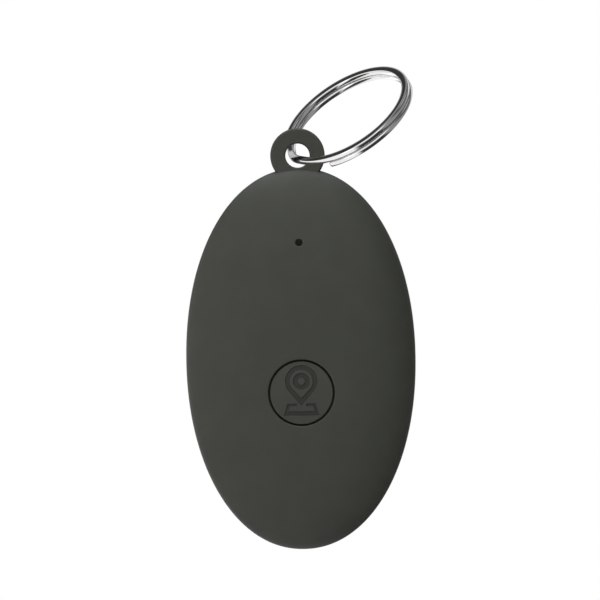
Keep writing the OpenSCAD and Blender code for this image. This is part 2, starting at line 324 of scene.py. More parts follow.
def scaled(colour: Colour, by: float) -> Colour:
    """A colour made lighter or darker."""
    return tuple(min(1.0, c * by) for c in colour)


class NodeTree:
    """Adds nodes to a tree and joins them."""

    def __init__(self, tree: bpy.types.NodeTree) -> None:
        """Works on an existing tree."""
        self.tree = tree

    def add(self, kind: str, settings: dict[str, object] | None = None, **inputs: object) -> Node:
        """Adds a node.

        Args:
            kind: the node's type name.
            settings: its properties.
            **inputs: for each input, with _ for a space, a value or an output socket to join.

        Returns:
            The node.
        """
        node = self.tree.nodes.new(kind)
        for key, value in (settings or {}).items():
            setattr(node, key, value)
        self.join(node, inputs)
        return node

    def join(self, node: Node, inputs: dict[str, object]) -> None:
        """Feeds a node's inputs, by name, with _ for a space."""
        for key, value in inputs.items():
            self.feed(self.socket(node, key.replace("_", " ")), value)

    @staticmethod
    def socket(node: Node, name: str) -> Socket:
        """The enabled input with that name, or with that place when the name is a number."""
        if name.startswith("in"):
            return node.inputs[int(name[2:])]
        return next(s for s in node.inputs if s.name == name and s.enabled)

    def feed(self, target: Socket, value: object) -> None:
        """Joins an output socket to an input, or sets its value, a colour with full alpha."""
        if isinstance(value, Socket):
            self.tree.links.new(value, target)
        else:
            is_colour = isinstance(target, bpy.types.NodeSocketColor)
            target.default_value = rgba(value) if is_colour else value

    def math(self, operation: str, first: object, second: object = 0.0) -> Socket:
        """The result of a Math node."""
        return self.add("ShaderNodeMath", {"operation": operation}, in0=first, in1=second).outputs[0]

    def times(self, first: object, second: object) -> Socket:
        """The product of two values."""
        return self.math("MULTIPLY", first, second)

    def plus(self, first: object, second: object) -> Socket:
        """The sum of two values."""
        return self.math("ADD", first, second)

    def noise(self, place: object, scale: object, detail: float = 2.0, rough: float = 0.5) -> Socket:
        """The value of a Noise Texture node."""
        return self.add("ShaderNodeTexNoise", Vector=place, Scale=scale, Detail=detail,
                        Roughness=rough).outputs[0]

    def spread(self, value: object, low: float, high: float, to_low: object = 0.0,
               to_high: object = 1.0) -> Socket:
        """The result of a smooth Map Range node."""
        return self.add("ShaderNodeMapRange", {"interpolation_type": "SMOOTHSTEP"}, in0=value,
                        in1=low, in2=high, in3=to_low, in4=to_high).outputs[0]

    def spread_evenly(self, value: object, low: float, high: float) -> Socket:
        """Value from low to high brought to 0 to 1, in a straight line."""
        return self.add("ShaderNodeMapRange", in0=value, in1=low, in2=high).outputs[0]

    def blend(self, share: object, first: object, second: object) -> Socket:
        """The colour of a Mix node."""
        return self.add("ShaderNodeMix", {"data_type": "RGBA"}, in0=share, in6=first, in7=second).outputs[2]


class Effect(Enum):
    """The node groups that more than one finish uses."""

    GRAIN = "Moulded Grain"
    HANDLING = "Handling Marks"
    RUBBED = "Rubbed Edge"
    BRUSHED = "Brushed Lines"


SOCKETS = {
    Effect.GRAIN: ({"Place": "Vector", "Size": "Float"}, ["Height", "Tone"]),
    Effect.HANDLING: ({"Place": "Vector", "Patch": "Float"}, ["Mask"]),
    Effect.RUBBED: ({"Place": "Vector", "Edge": "Float", "Wear": "Float"}, ["Mask"]),
    Effect.BRUSHED: ({"Place": "Vector", "Fineness": "Float"}, ["Height"]),
}


def effect_group(effect: Effect) -> bpy.types.NodeTree:
    """Makes or finds a shared node group.

    Args:
        effect: which group.

    Returns:
        Its node tree, with the named inputs and outputs of SOCKETS.
    """
    found = bpy.data.node_groups.get(effect.value)
    if found:
        return found
    group = bpy.data.node_groups.new(effect.value, "ShaderNodeTree")
    inputs, outputs = SOCKETS[effect]
    for name, kind in inputs.items():
        group.interface.new_socket(name, in_out="INPUT", socket_type=f"NodeSocket{kind}")
    for name in outputs:
        group.interface.new_socket(name, in_out="OUTPUT", socket_type="NodeSocketFloat")
    tree = NodeTree(group)
    given = {s.name: s for s in tree.add("NodeGroupInput").outputs}
    place = given["Place"]
    if effect is Effect.GRAIN:
        per_size = tree.math("DIVIDE", 1.0, given["Size"])
        fine = tree.noise(place, per_size, 3.0, 0.55)
        coarse = tree.noise(place, tree.times(per_size, 0.42), 1.0)
        height = tree.plus(tree.times(fine, 0.65), tree.times(coarse, 0.35))
        tone = tree.noise(place, tree.times(per_size, 0.03), 3.0, 0.6)
        made = {"Height": height, "Tone": tree.spread(tone, 0.3, 0.7)}
    elif effect is Effect.HANDLING:
        per_patch = tree.math("DIVIDE", 1.0, given["Patch"])
        wide = tree.spread(tree.noise(place, per_patch, 4.0, 0.6), 0.42, 0.68)
        fine = tree.noise(place, tree.times(per_patch, 9.0), 2.0)
        made = {"Mask": tree.times(wide, tree.spread(fine, 0.25, 0.75, 0.5, 1.0))}
    elif effect is Effect.RUBBED:
        broken = tree.spread(tree.noise(place, 1.7, 5.0, 0.65), 0.35, 0.65, 0.35, 1.0)
        made = {"Mask": tree.times(tree.times(given["Edge"], given["Wear"]), broken)}
    else:
        long = tree.noise(place, given["Fineness"], 3.0, 0.6)
        made = {"Height": tree.spread(long, 0.3, 0.7)}
    out = tree.add("NodeGroupOutput")
    for name, value in made.items():
        tree.feed(out.inputs[name], value)
    return group


class Shader(NodeTree):
    """A material's node tree with one Principled BSDF."""

    def __init__(self, name: str, **constants: object) -> None:
        """Starts a material.

        Args:
            name: the material's name.
            **constants: values for the Principled BSDF's own inputs, with _ for a space.
        """
        self.material = bpy.data.materials.new(name)
        self.material.use_nodes = True
        super().__init__(self.material.node_tree)
        self.tree.nodes.clear()
        self.surface = self.add("ShaderNodeBsdfPrincipled", **constants)
        self.add("ShaderNodeOutputMaterial", Surface=self.surface.outputs[0])

    def place(self, stretch: Triple = (1.0, 1.0, 1.0), shift: Triple = (0.0, 0.0, 0.0)) -> Socket:
        """Object coordinates in millimetres.

        Args:
            stretch: pattern repeats per millimetre along each axis.
            shift: moves the pattern, in millimetres.

        Returns:
            The vector socket.
        """
        source = self.add("ShaderNodeTexCoord").outputs["Object"]
        scale = tuple(s / MM for s in stretch)
        return self.add("ShaderNodeMapping", Vector=source, Location=shift, Scale=scale).outputs[0]

    def mark(self, name: str) -> Socket:
        """A point mark of the piece, from 0 to 1."""
        return self.add("ShaderNodeAttribute", {"attribute_name": name}).outputs["Fac"]

    def effect(self, effect: Effect, **inputs: object) -> bpy.types.NodeOutputs:
        """Places a shared node group and returns its outputs."""
        return self.add("ShaderNodeGroup", {"node_tree": effect_group(effect)}, **inputs).outputs

    def smudge(self, patch: float) -> Socket:
        """Handling marks, from 0 to 1, in patches of that many millimetres."""
        return self.effect(Effect.HANDLING, Place=self.place(), Patch=patch)["Mask"]

    def give(self, **values: object) -> None:
        """Joins sockets to the Principled BSDF's inputs."""
        self.join(self.surface, values)

    def relief(self, height: object, depth: float, strength: float = 1.0) -> None:
        """Feeds a Bump node.

        Args:
            height: 0 to 1 over the surface.
            depth: what 1 stands for, in millimetres.
            strength: the Bump node's strength.
        """
        bump = self.add("ShaderNodeBump", Strength=strength, Distance=depth * MM, Height=height)
        self.give(Normal=bump.outputs[0])


@dataclass(frozen=True)
class CasePlastic:
    """Charcoal moulded plastic with a fine matte grain, lighter where its edges rub, with painted shade
    darkening the floors of engravings.
    """

    colour: Colour = (0.030, 0.032, 0.027)
    roughness: float = 0.52
    grain_mm: float = 0.11
    grain_depth: float = 0.006
    patch_mm: float = 7.0
    wear: float = 0.55
    speck_share: float = 0.12
    speck_tone: float = 1.5
    rubbed_tone: float = 1.35
    engraving_painted_shade: float = 0.5

    def material(self) -> Material:
        """Builds the material."""
        sh = Shader("charcoal_plastic", Specular_IOR_Level=0.25)
        place = sh.place()
        grain = sh.effect(Effect.GRAIN, Place=place, Size=self.grain_mm)
        smudge = sh.smudge(self.patch_mm)
        rubbed = sh.effect(Effect.RUBBED, Place=place, Edge=sh.mark("edge"), Wear=self.wear)["Mask"]
        body = sh.blend(grain["Tone"], scaled(self.colour, 0.95), scaled(self.colour, 1.05))
        specks = sh.spread(grain["Height"], 0.35, 0.65)
        body = sh.blend(sh.times(specks, self.speck_share), body, scaled(self.colour, self.speck_tone))
        worn = sh.blend(rubbed, body, scaled(self.colour, self.rubbed_tone))
        # Painted shade: the floors of engravings are darkened, standing in for the shade inside the recess.
        dark = sh.blend(sh.mark("engraved"), worn, scaled(self.colour, self.engraving_painted_shade))
        rough = sh.math("SUBTRACT", self.roughness, sh.times(smudge, 0.07))
        rough = sh.plus(rough, sh.times(specks, 0.06))
        rough = sh.math("SUBTRACT", rough, sh.times(rubbed, 0.1))
        sh.give(Base_Color=dark, Roughness=rough)
        sh.relief(grain["Height"], self.grain_depth)
        return sh.material


@dataclass(frozen=True)
class PolishedSteel:
    """Nickel-plated spring wire, polished, with faint lines along the wire."""

    colour: Colour = (0.78, 0.775, 0.77)
    roughness: float = 0.06
    stretch: Triple = (0.35, 4.0, 1.0)
    fineness: float = 1.6
    patch_mm: float = 2.4
    smudge_tone: float = 0.9

    def material(self) -> Material:
        """Builds the material."""
        sh = Shader("polished_steel", Metallic=1.0)
        wire = sh.add("ShaderNodeUVMap", {"uv_map": "wire"}).outputs[0]
        along = sh.add("ShaderNodeMapping", Vector=wire, Scale=self.stretch).outputs[0]
        lines = sh.effect(Effect.BRUSHED, Place=along, Fineness=self.fineness)["Height"]
        smudge = sh.smudge(self.patch_mm)
        rough = sh.plus(self.roughness, sh.times(smudge, 0.05))
        rough = sh.plus(rough, sh.times(lines, 0.04))
        colour = sh.blend(smudge, self.colour, scaled(self.colour, self.smudge_tone))
        sh.give(Base_Color=colour, Roughness=rough)
        return sh.material


@dataclass(frozen=True)
class Moulding:
    """A plain moulded plastic or a fired ceramic."""

    name: str
    colour: Colour
    roughness: float = 0.45
    grain_mm: float = 0.07
    mottle: float = 0.18
    grain_depth: float = 0.004
    patch_mm: float = 1.3
    smudge_gloss: float = 0.12

    def material(self) -> Material:
        """Builds the material."""
        sh = Shader(self.name, Specular_IOR_Level=0.45)
        place = sh.place()
        grain = sh.effect(Effect.GRAIN, Place=place, Size=self.grain_mm)
        smudge = sh.smudge(self.patch_mm)
        body = sh.blend(grain["Tone"], scaled(self.colour, 1 - self.mottle),
                        scaled(self.colour, 1 + self.mottle))
        sh.give(Base_Color=body,
                Roughness=sh.plus(self.roughness, sh.times(smudge, -self.smudge_gloss)))
        sh.relief(grain["Height"], self.grain_depth)
        return sh.material


@dataclass(frozen=True)
class PlatedMetal:
    """A thin plated or rolled metal with lines from rolling along one axis."""

    name: str
    colour: Colour
    roughness: float = 0.28
    stretch: Triple = (0.4, 6.0, 6.0)
    tarnish: Colour = (0.4, 0.36, 0.3)
    dull_share: float = 0.3
    fineness: float = 2.4
    line_depth: float = 0.004
    patch_mm: float = 1.8

    def material(self) -> Material:
        """Builds the material."""
        sh = Shader(self.name, Metallic=1.0)
        lines = sh.effect(Effect.BRUSHED, Place=sh.place(self.stretch), Fineness=self.fineness)["Height"]
        smudge = sh.smudge(self.patch_mm)
        dull = sh.times(smudge, self.dull_share)
        colour = sh.blend(dull, self.colour, self.tarnish)
        rough = sh.plus(self.roughness, sh.times(lines, 0.12))
        sh.give(Base_Color=colour, Roughness=sh.plus(rough, sh.times(smudge, 0.1)))
        sh.relief(lines, self.line_depth)
        return sh.material


@dataclass(frozen=True)
class BoardLaminate:
    """A circuit board: green solder mask over copper tracks, with a bare glass-fibre edge.

    The tracks run side by side round the middles of square cells.
    """

    mask: Colour = (0.012, 0.085, 0.035)
    over_copper: Colour = (0.03, 0.19, 0.075)
    bare: Colour = (0.3, 0.27, 0.12)
    cells_per_mm: float = 0.13
    tracks_per_cell: float = 11.0
    vias_per_mm: float = 0.9
    via_tone: float = 1.7
    copper_t: float = 0.03
    patch_mm: float = 5.0

    def material(self) -> Material:
        """Builds the material."""
        sh = Shader("board_laminate", Coat_Weight=0.35, Coat_Roughness=0.12)
        cells = sh.add("ShaderNodeTexVoronoi", {"feature": "F1", "distance": "CHEBYCHEV"},
                       Vector=sh.place((self.cells_per_mm,) * 3), Scale=1.0,
                       Randomness=1.0).outputs["Distance"]
        lanes = sh.math("PINGPONG", sh.times(cells, self.tracks_per_cell), 0.5)
        tracks = sh.spread(lanes, 0.2, 0.26)
        dots = sh.add("ShaderNodeTexVoronoi", {"feature": "F1"},
                      Vector=sh.place((self.vias_per_mm,) * 3), Scale=1.0,
                      Randomness=1.0).outputs["Distance"]
        vias = sh.spread(dots, 0.1, 0.16, 1.0, 0.0)
        smudge = sh.smudge(self.patch_mm)
        body = sh.blend(tracks, self.mask, self.over_copper)
        body = sh.blend(vias, body, scaled(self.over_copper, self.via_tone))
        facing = sh.add("ShaderNodeNewGeometry").outputs["Normal"]
        side = sh.add("ShaderNodeSeparateXYZ", Vector=facing).outputs["Y"]
        flat = sh.spread(sh.math("ABSOLUTE", side), 0.5, 0.8)
        body = sh.blend(flat, self.bare, body)
        sh.give(Base_Color=body, Roughness=sh.spread(smudge, 0.0, 1.0, 0.34, 0.26))
        sh.relief(sh.times(tracks, flat), self.copper_t)
        return sh.material


@dataclass(frozen=True)
class WoundWire:
    """Enamelled copper wire wound in tight turns round the Y axis, with painted shade darkening the grooves
    between turns.
    """

    colour: Colour = (0.5, 0.17, 0.06)
    turns_per_mm: float = 14.0
    groove_painted_shade: float = 0.45
    groove_depth: float = 0.03

    def material(self) -> Material:
        """Builds the material."""
        sh = Shader("wound_wire", Metallic=1.0, Coat_Weight=0.5, Coat_Roughness=0.1)
        depth = sh.add("ShaderNodeSeparateXYZ", Vector=sh.place()).outputs["Y"]
        turns = sh.math("SINE", sh.times(depth, FULL_TURN * self.turns_per_mm))
        rounds = sh.spread(turns, -1.0, 1.0)
        # Painted shade: the wire's colour darkens in the grooves between turns.
        sh.give(Base_Color=sh.blend(rounds, scaled(self.colour, self.groove_painted_shade), self.colour),
                Roughness=sh.spread(rounds, 0.0, 1.0, 0.5, 0.3))
        sh.relief(rounds, self.groove_depth)
        return sh.material


@dataclass(frozen=True)
class CellSteel:
    """Nickel-plated cell steel, brushed in circles round the cell's axis."""

    centre: Triple
    colour: Colour = (0.66, 0.655, 0.645)
    smudge_tone: float = 0.86
    fineness: float = 9.0
    line_depth: float = 0.003
    patch_mm: float = 4.0

    def material(self) -> Material:
        """Builds the material."""
        sh = Shader("cell_steel", Metallic=1.0)
        shift = tuple(-c / MM for c in self.centre)
        centred = sh.add("ShaderNodeSeparateXYZ", Vector=sh.place(shift=shift))
        across = sh.math("POWER", centred.outputs["X"], 2.0)
        along = sh.math("POWER", centred.outputs["Z"], 2.0)
        radius = sh.math("SQRT", sh.plus(across, along))
        circles = sh.add("ShaderNodeCombineXYZ", X=radius, Y=sh.times(centred.outputs["Y"], 3.0))
        lines = sh.effect(Effect.BRUSHED, Place=circles.outputs[0], Fineness=self.fineness)["Height"]
        smudge = sh.smudge(self.patch_mm)
        rough = sh.plus(sh.times(lines, 0.14), sh.times(smudge, 0.12))
        sh.give(Base_Color=sh.blend(smudge, self.colour, scaled(self.colour, self.smudge_tone)),
                Roughness=sh.plus(rough, 0.2))
        sh.relief(lines, self.line_depth)
        return sh.material


def dress(piece: Piece, material: Material) -> None:
    """Gives a piece one material in place of any it has."""
    piece.data.materials.clear()
    piece.data.materials.append(material)


# --- Sub-assemblies ---


@dataclass(frozen=True)
class CaseFrame:
    """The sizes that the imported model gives, in the tag's own drawing frame, in millimetres.

    In that frame x points to the right, y up along the tag and z to the front, with 0 in the
    middle of the case's length.
    """

    outline: Outline
    drop: float
    front_z: float
    part_z: float
    rear_z: float
    eye_r: float
    cap_r: float
    button_y: float
    hole_r: float = 1.7
    hole_gap: float = 0.05
    flange_over: float = 0.9

    @classmethod
    def read(cls) -> CaseFrame:
        """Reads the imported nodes' boxes."""
        low, high = (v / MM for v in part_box("front_cover"))
        rear_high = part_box("rear_cover")[1] / MM
        cap_low, cap_high = (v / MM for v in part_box("button_cap"))
        below_hole = cls.hole_r + cls.hole_gap
        half_l = (-low.z - below_hole) / 2
        drop = half_l + below_hole
        return cls(outline=Outline((high.x - low.x) / 2, half_l), drop=drop, front_z=-low.y,
                   part_z=-high.y, rear_z=-rear_high.y, eye_r=high.z,
                   cap_r=(cap_high.x - cap_low.x) / 2 - cls.flange_over,
                   button_y=(cap_low.z + cap_high.z) / 2 + drop)

    def placing(self) -> Placing:
        """The map from this frame to the row frame: the front faces -Y, and y becomes Z - drop."""
        return Placing(Matrix.Translation((0, 0, -self.drop)) @ Matrix.Rotation(math.pi / 2, 4, "X"))


@dataclass
class FrontCover:
    """The domed front of the case, with its button bore, sound port and screw bosses."""

    frame: CaseFrame
    wall: float = 1.3
    dome_z: float = 0.6
    bore_gap: float = 0.26
    edge_r: float = 0.1
    rim_r: float = 0.12
    port_r: float = 0.5
    port_y: float = 16.26
    port_edge_r: float = 0.08
    port_reach: tuple[tuple[int, int], tuple[int, int]] = ((4, 5), (2, 7))
    seat_z: float = 3.0
    bore_h: float = 0.6
    flange_space: float = 1.1
    collar_w: float = 0.6
    collar_end: float = 2.3
    columns: int = 288
    outer_rows: int = 84
    inner_rows: int = 36
    boss_spots: tuple[Spot, ...] = ((-8.5, 13.0), (8.5, 13.0), (0.0, -20.8))
    boss_r: float = 1.6
    boss_hole_r: float = 0.55
    boss_heights: Triple = (0.4, 1.6, 3.0)
    turns: Array = field(init=False)
    domes: tuple[Dome, Dome] = field(init=False)

    def __post_init__(self) -> None:
        """Works out the columns' turns and the outer and inner domes."""
        self.turns = even_turns(self.columns)
        rise = self.frame.front_z - self.dome_z
        inner = self.frame.outline.shrunk(self.wall)
        self.domes = (Dome(self.frame.outline, self.dome_z, rise), Dome(inner, self.dome_z, rise - self.wall))

    def _sheet(self, dome: Dome, start_r: float, rows: int) -> Array:
        """One side of the shell, from a circle round the button to the outline.

        Row u lies the share 1 - u^2 of the way from the circle to the outline, so rows crowd
        where the dome turns down. Its height is the dome's.

        Args:
            dome: the side's dome.
            start_r: the circle's radius.
            rows: how many rows.

        Returns:
            Rows by columns of points.
        """
        rim = dome.outline.points(self.turns)
        start = circle((0.0, self.frame.button_y), start_r, self._bearing(rim))
        share = (1 - np.linspace(1, 0, rows) ** 2)[:, None, None]
        return dome.over(start * (1 - share) + rim * share)

    def _bearing(self, rim: Array) -> Array:
        """The turn of each rim point as seen from the button's axis."""
        return np.arctan2(rim[:, 1] - self.frame.button_y, rim[:, 0])

    def _port_loop(self, sheet: Array, rows: int, cells: int) -> tuple[Array, Array]:
        """Picks the block of faces round the sound port.

        Args:
            sheet: one side's points.
            rows: how many rows the block reaches each way.
            cells: how many columns it reaches each way.

        Returns:
            The block's border, as row and column numbers in order, and the faces to keep.
        """
        top = self.columns // 4
        near = int(np.argmin(np.abs(sheet[:, top, 1] - self.port_y)))
        r0, r1, c0, c1 = near - rows, near + rows, top - cells, top + cells
        over, up = np.arange(c0, c1), np.arange(r0, r1)
        border = np.concatenate([np.stack([np.full_like(over, r0), over], 1),
                                 np.stack([up, np.full_like(up, c1)], 1),
                                 np.stack([np.full_like(over, r1), over[::-1] + 1], 1),
                                 np.stack([up[::-1] + 1, np.full_like(up, c0)], 1)])
        keep = np.ones((len(sheet) - 1, self.columns), bool)
        keep[r0:r1, c0:c1] = False
        return border, keep

    def _port_rings(self, dome: Dome, border: Array, radius: float) -> Array:
        """Rings that pass from a block's border to the port's circle, on the dome."""
        rows, columns = 5, len(border)
        turns = -math.pi / 4 - np.arange(columns) / columns * FULL_TURN
        hole = circle((0.0, self.port_y), radius, turns)
        share = np.linspace(0, 1, rows + 1)[1:, None, None]
        return dome.over(border[:, :2] * (1 - share) + hole * share)

    def _port(self, skin: Surface, sheets: tuple[Array, Array], numbers: tuple[Array, Array]) -> None:
        """Cuts the sound port through both sides and adds its wall, with a rounded outer edge."""
        walls: list[Array] = []
        for side in (0, 1):
            border, keep = self._port_loop(sheets[side], *self.port_reach[side])
            skin.add_grid(numbers[side], keep=keep)
            edge = numbers[side][border[:, 0], border[:, 1]]
            spots = sheets[side][border[:, 0], border[:, 1]]
            rings = self._port_rings(self.domes[side], spots, self.port_r + (self.port_edge_r, 0.0)[side])
            if side == 0:
                rings = np.concatenate([rings, self._port_edge(rings[-1])])
            walls.append(np.concatenate([edge[None], skin.add_points(rings)]))
        skin.add_grid(np.concatenate([walls[0], walls[1][::-1]]))

    def _port_edge(self, ring: Array) -> Array:
        """A quarter round from the dome into the port: it sinks by the radius as it closes in."""
        quarter = np.linspace(0, math.pi / 2, 5)[1:, None]
        outward = ring[:, :2] - np.array([0.0, self.port_y])
        outward = outward / np.linalg.norm(outward, axis=1, keepdims=True)
        inwards = self.port_edge_r * np.sin(quarter)[..., None] * outward
        spots = ring[None, :, :2] - inwards
        z = ring[None, :, 2] - self.port_edge_r * (1 - np.cos(quarter))
        return np.concatenate([spots, z[..., None]], axis=-1)

    def _rim(self) -> Array:
        """Rings from the inner dome's foot, across the rim and up the flank to the outer dome."""
        part = self.frame.part_z
        inner = self.domes[1].outline.points(self.turns)
        outer, outward = self.frame.outline.points(self.turns), self.frame.outline.outward(self.turns)
        quarter = np.linspace(0, math.pi / 2, 6)
        insets = np.concatenate([[self.rim_r + 0.05], self.rim_r * (1 - np.sin(quarter)), [0.0, 0.0, 0.0]])
        flank = np.linspace(part + self.rim_r, self.dome_z, 5)[1:-1]
        heights = np.concatenate([[part], part + self.rim_r * (1 - np.cos(quarter)), flank])
        inside = [at_height(inner, z) for z in (0.0, part / 2, part)]
        outside = [at_height(outer - d * outward, z) for d, z in zip(insets, heights)]
        return np.stack(inside + outside)

    def _bore(self, dome_edge: Array) -> Array:
        """Rings from the inner dome to the outer dome's edge: collar, seat, bore wall and its edge."""
        bearing = self._bearing(self.frame.outline.points(self.turns))
        centre = (0.0, self.frame.button_y)
        bore = self.frame.cap_r + self.bore_gap
        recess = self.frame.cap_r + self.flange_space
        wall = [at_height(circle(centre, r, bearing), z) for r, z in (
            (recess + self.collar_w, self.collar_end), (recess, self.collar_end),
            (recess, self.seat_z), (bore, self.seat_z), (bore, self.seat_z + self.bore_h))]
        quarter = np.linspace(math.pi / 2, 0, 6)[:-1]
        lip = [at_height(circle(centre, bore + self.edge_r * (1 - math.sin(q)), bearing),
                         dome_edge[:, 2] - self.edge_r * (1 - math.cos(q))) for q in quarter]
        return np.stack(wall + lip)

    def _bosses(self, skin: Surface) -> None:
        """Adds a blind tube for each screw: its end sinks into the dome's wall."""
        around = even_turns(32)
        mouth, floor, end = self.boss_heights
        section = ((0.0, floor), (self.boss_hole_r, floor), (self.boss_hole_r, mouth),
                   (self.boss_r, mouth), (self.boss_r, end), (0.0, end))
        for spot in self.boss_spots:
            skin.add_skin(np.stack([at_height(circle(spot, max(r, 0.001), around), z) for r, z in section]))

    def build(self) -> Piece:
        """Builds the cover: both sides, rim, bore, port and bosses."""
        skin = Surface()
        bore = self.frame.cap_r + self.bore_gap
        collar = self.frame.cap_r + self.flange_space + self.collar_w
        outer = self._sheet(self.domes[0], bore + self.edge_r, self.outer_rows)
        inner = self._sheet(self.domes[1], collar, self.inner_rows)
        edge = smooth_step(0.035, 0.0, 1 - self.frame.outline.level(outer[..., :2])) * 0.35
        numbers = (skin.add_points(outer, edge), skin.add_points(inner))
        self._port(skin, (outer, inner), numbers)
        rim, wall = self._rim(), self._bore(outer[0])
        rim_edge = smooth_step(0.4, 0.0, rim[..., 2] - self.frame.part_z)
        rim_edge[:4] = 0
        wall_edge = smooth_step(self.edge_r, 0.0, outer[0, :, 2] - wall[..., 2])
        over = skin.add_points(rim, rim_edge)
        through = skin.add_points(wall, wall_edge)
        skin.add_grid(np.concatenate([numbers[1][-1:], over, numbers[0][-1:]]))
        skin.add_grid(np.concatenate([numbers[1][:1], through, numbers[0][:1]]))
        self._bosses(skin)
        made = skin.build("case_front", self.frame.placing())
        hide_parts("front_cover")
        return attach(made, "tag")


@dataclass
class Eyelet:
    """The flat plate with a round hole that the ring passes through, moulded onto the front."""

    frame: CaseFrame
    root: float = 1.05
    hole_edge: float = 0.22
    outer_edge: float = 0.28
    rubbed_w: float = 0.3
    columns: int = 144

    def _reach(self, turns: Array) -> Array:
        """The plate's outer radius: its own circle, or less where it ends inside the case's wall.

        The wall line is the outline moved in by root. Along a ray from the hole it is met where
        the outline's level is 1, found by halving.
        """
        line = self.frame.outline.shrunk(self.root)
        low, high = np.zeros_like(turns), np.full_like(turns, self.frame.eye_r)
        for _ in range(30):
            middle = (low + high) / 2
            outside = line.level(circle((0.0, self.frame.drop), middle, turns)) > 1
            low, high = np.where(outside, middle, low), np.where(outside, high, middle)
        return high

    def build(self) -> Piece:
        """Carries the plate's rounded section round the hole's axis."""
        turns = even_turns(self.columns)
        half = -self.frame.part_z
        section = rounded_path([(0.0, -half, self.hole_edge), (1.0, -half, self.outer_edge),
                                (1.0, half, self.outer_edge), (0.0, half, self.hole_edge)], closed=True)
        reach = self._reach(turns)
        share, z = section[:, :1], section[:, 1:]
        near_hole = share < 0.5
        radius = np.where(near_hole, self.frame.hole_r + share, reach[None] - (1.0 - share))
        rings = at_height(circle((0.0, self.frame.drop), radius, turns[None]),
                          np.broadcast_to(z, radius.shape))
        corner = np.minimum(np.minimum(share, np.abs(1 - share)), self.rubbed_w)
        edge = smooth_step(0.2, 0.02, np.maximum(corner, half - np.abs(z)))
        edge = edge * (np.abs(z) > half - self.rubbed_w)
        skin = Surface()
        skin.add_loop(rings, np.broadcast_to(edge, radius.shape))
        made = skin.build("eyelet", self.frame.placing())
        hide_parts("front_cover")
        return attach(made, "tag")


@dataclass
class RearCover:
    """The rear of the case: a flat middle, a quarter-round edge, and a lip that enters the front."""

    frame: CaseFrame
    gap: float = 0.04
    rim_r: float = 0.12
    inner_r: float = 3.15
    lip_out: float = 1.6
    lip_in: float = 2.3
    lip_h: float = 0.6
    ledge_drop: float = 1.1
    notch_y: float = -26.3
    notch_h: float = 0.7
    rib_r: Spot = (7.0, 8.0)
    rib_edge: float = 0.12
    cell_gap: float = 0.1
    floor_t: float = 1.1
    columns: int = 288
    flat_rows: int = 13

    def _outside(self, edge_r: float) -> list[tuple[float, float, bool]]:
        """Inset, height and notch flag of each ring from the flat middle up to the rim.

        The edge is a quarter circle: inset = r - r cos f and depth below the parting = r sin f.
        The rings above the notch's floor are cut by it, and one ring is there twice.
        """
        part = self.frame.part_z
        floor = part - self.notch_h
        start = math.asin(self.notch_h / edge_r)
        arc, lift = (
            [(edge_r * (1 - math.cos(f)), part - edge_r * math.sin(f), cut) for f in leans]
            for leans, cut in ((np.linspace(math.pi / 2, start, 22), False),
                               (np.linspace(start, 0.05, 5), True)))
        lift[0] = (lift[0][0], min(lift[0][1], floor), True)
        top = part - self.gap
        quarter = np.linspace(0, math.pi / 2, 6)
        lip = [(self.rim_r * (1 - math.cos(q)), top - self.rim_r * (1 - math.sin(q)), True) for q in quarter]
        return arc + lift[:-1] + lip + [(self.rim_r + 0.05, top, True)]

    def _inside(self, edge_r: float) -> list[tuple[float, float, bool]]:
        """The same for the rings from the rim over the lip and down the inner wall."""
        top = self.frame.part_z - self.gap
        ledge = self.frame.part_z - self.ledge_drop
        start = math.asin((top - ledge) / self.inner_r)
        lip = rounded_path([(self.lip_out, top, 0.0), (self.lip_out, top + self.lip_h, 0.12),
                            (self.lip_in, top + self.lip_h, 0.12), (self.lip_in, ledge, 0.0)], 4)
        arc = [(edge_r - self.inner_r * math.cos(f), top - self.inner_r * math.sin(f), False)
               for f in np.linspace(start, math.pi / 2, 12)]
        return [(float(d), float(z), False) for d, z in lip] + arc

    def build(self) -> Piece:
        """Carries the section round the outline and closes both flat middles."""
        turns = even_turns(self.columns)
        outline = self.frame.outline
        spots, outward = outline.points(turns), outline.outward(turns)
        edge_r = self.frame.part_z - self.frame.rear_z
        section = self._outside(edge_r) + self._inside(edge_r)
        rings = []
        for inset, z, cut in section:
            ring = spots - inset * outward
            if cut:
                ring = np.stack([ring[:, 0], np.maximum(ring[:, 1], self.notch_y)], axis=-1)
            rings.append(at_height(ring, z))
        shares = np.linspace(0.08, 1, self.flat_rows + 1)[:-1, None, None]
        flats = [at_height(ring[:, :2] * shares, ring[:, 2]) for ring in (rings[0], rings[-1])]
        whole = np.concatenate([flats[0], np.stack(rings), flats[1][::-1]])
        depth = self.frame.part_z - whole[..., 2]
        away = np.linalg.norm(whole[..., :2] - spots, axis=-1)
        edge = smooth_step(0.3, 0.05, depth) * (away < 0.3)
        skin = Surface()
        skin.add_skin(whole, edge)
        self._cell_rib(skin)
        made = skin.build("case_rear", self.frame.placing())
        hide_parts("rear_cover")
        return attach(made, "rear_cover")

    def _cell_rib(self, skin: Surface) -> None:
        """Adds the round rib that bears on the coin cell."""
        around = even_turns(96)
        low, high = (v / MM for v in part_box("battery_can"))
        centre = ((low.x + high.x) / 2, (low.z + high.z) / 2 + self.frame.drop)
        top, foot = -high.y - self.cell_gap, self.frame.rear_z + self.floor_t
        inner, outer = self.rib_r
        section = rounded_path([(inner, foot, 0.0), (inner, top, self.rib_edge),
                                (outer, top, self.rib_edge), (outer, foot, 0.0)], 3)
        skin.add_loop(np.stack([at_height(circle(centre, r, around), z) for r, z in section]))


